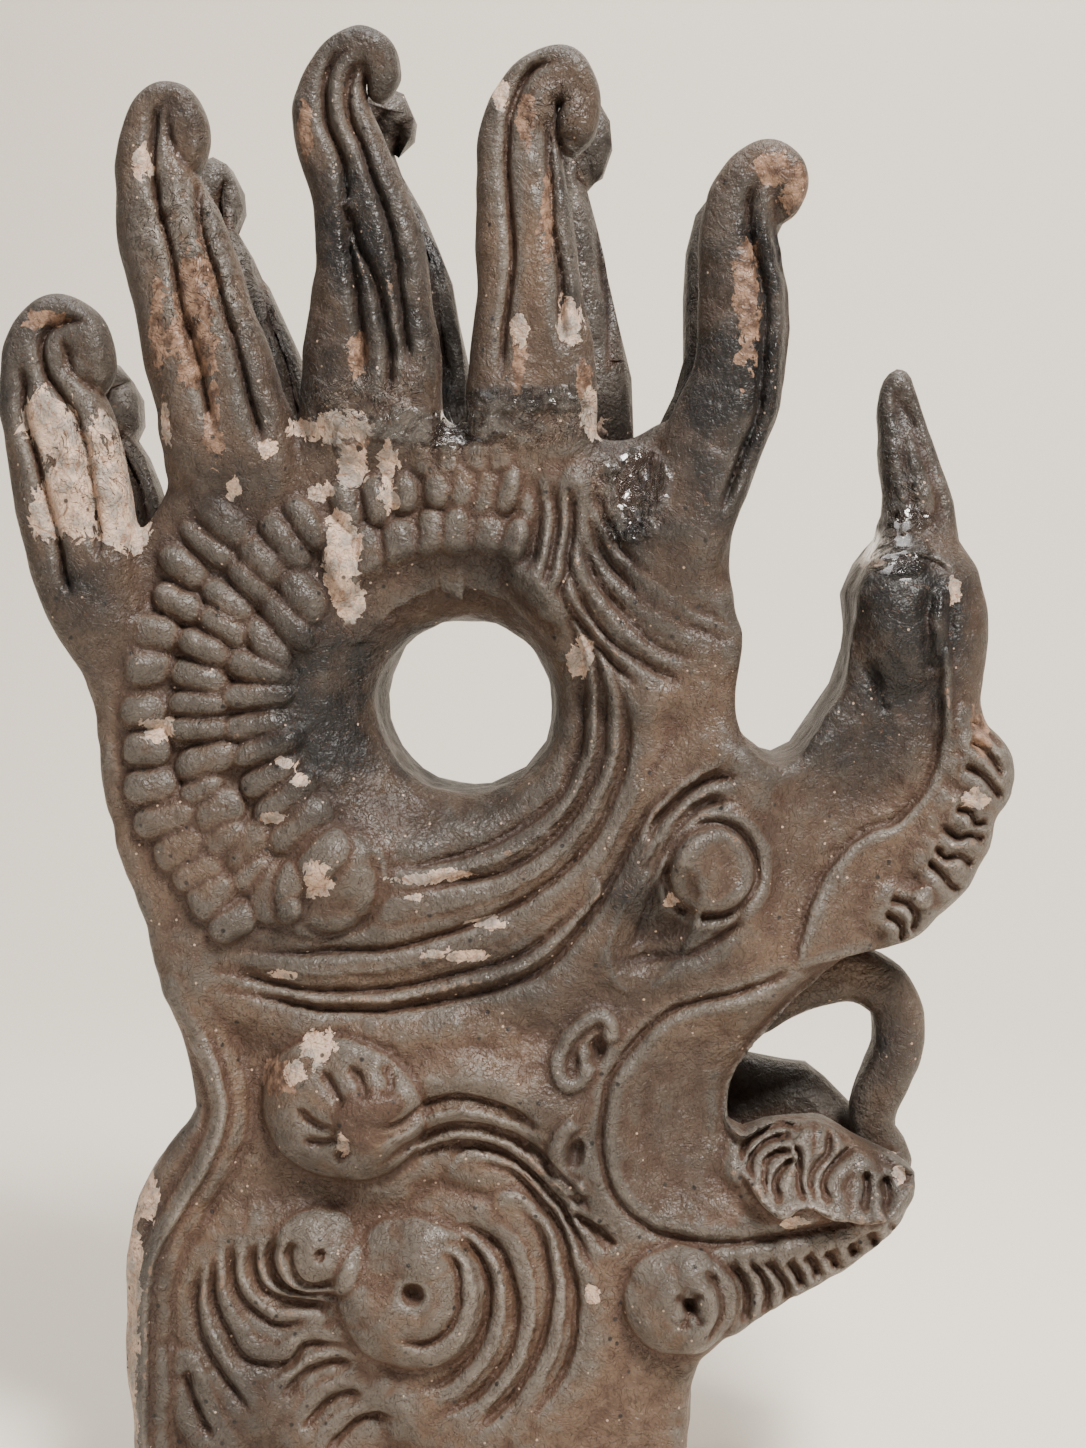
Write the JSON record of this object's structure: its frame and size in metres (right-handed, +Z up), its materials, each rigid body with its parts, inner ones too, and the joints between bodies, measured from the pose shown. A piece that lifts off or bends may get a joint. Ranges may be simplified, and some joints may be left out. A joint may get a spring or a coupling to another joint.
{
  "type": "ridge beast ornament",
  "caption": "Fired clay ridge beast with an open mouth, upturned horned snout, a round hole through the body and rows of hooked flames on its back; stands on a flat foot.",
  "frame": {"origin": "middle of the flat underside of the foot", "axes": "+X along the roof ridge towards the snout, +Y across the ridge towards the far face, +Z up"},
  "size_m": [0.4643, 0.1404, 0.6846],
  "materials": {
    "clay": "unglazed, weathered grey-brown"
  },
  "bodies": {
    "root": {"ridge_beast": "clay"}
  },
  "joints": []
}
